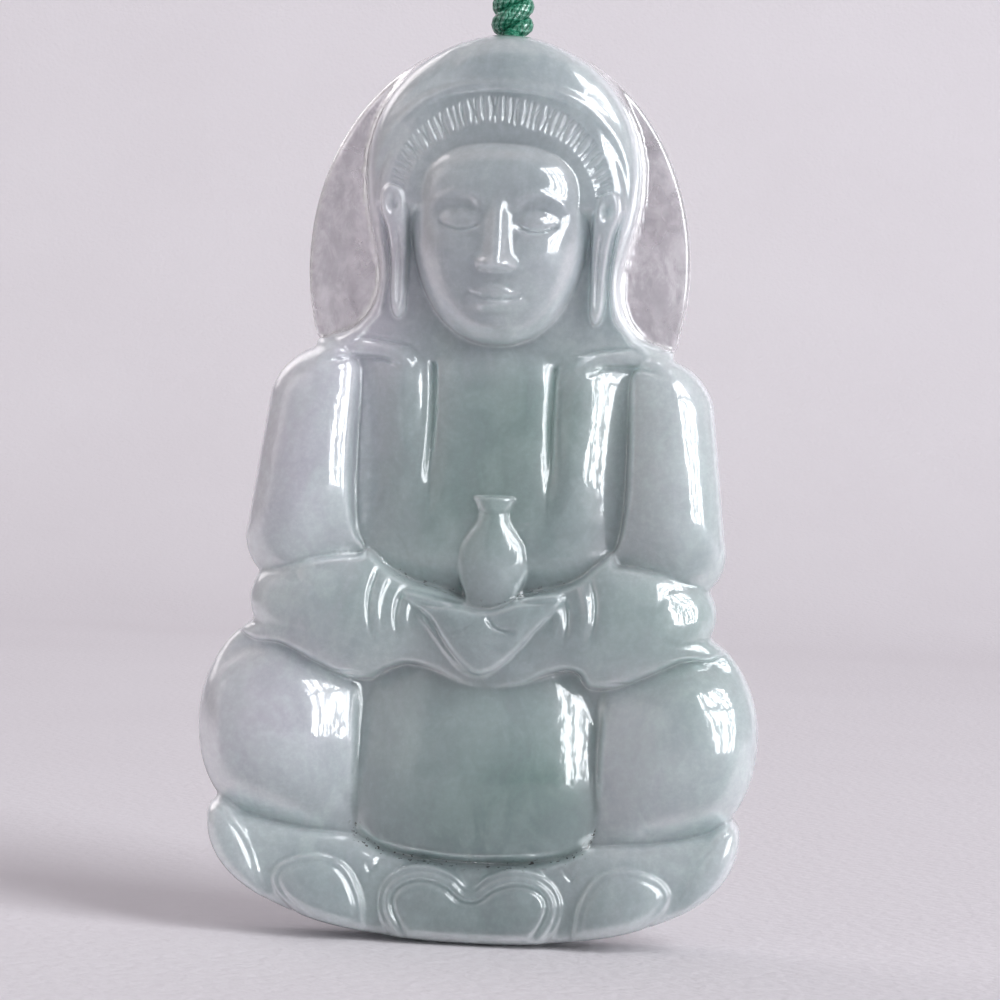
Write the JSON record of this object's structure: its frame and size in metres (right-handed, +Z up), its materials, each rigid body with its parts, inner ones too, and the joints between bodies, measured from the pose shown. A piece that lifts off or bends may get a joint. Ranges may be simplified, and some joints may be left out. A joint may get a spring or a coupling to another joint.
{
  "type": "carved jade pendant on a silk cord",
  "caption": "Flat-backed carved jade pendant of a seated, hooded figure with a small vase on a lotus seat, hung by a knotted silk cord.",
  "frame": {"origin": "on the flat back face of the stone, at its middle width and middle height", "axes": "+Z up along the figure, +Y out of the flat back, the figure faces -Y, +X to the viewer's right"},
  "size_m": [0.0368, 0.0106, 0.0749],
  "materials": {
    "jade": "polished translucent jade, cloudy grey-green",
    "green_silk": "braided silk cord with a satin sheen"
  },
  "bodies": {
    "carving": {"jade_carving": "jade"},
    "bail": {"bail_loop": "green_silk"},
    "knot": {"upper_knot": "green_silk"},
    "loop": {"hanging_loop": "green_silk"}
  },
  "joints": [
    {"name": "bail_swing", "type": "hinge", "parent": "carving", "child": "bail", "pos_m": [0, -0.0011, 0.028], "axis": [1, 0, 0], "range_deg": [-15, 15]},
    {"name": "knot_bend", "type": "hinge", "parent": "bail", "child": "knot", "pos_m": [0, -0.0011, 0.0332], "axis": [0, 1, 0], "range_deg": [-14, 14]},
    {"name": "loop_fold", "type": "hinge", "parent": "knot", "child": "loop", "pos_m": [0, -0.0011, 0.03685], "axis": [1, 0, 0], "range_deg": [-75, 75]}
  ]
}
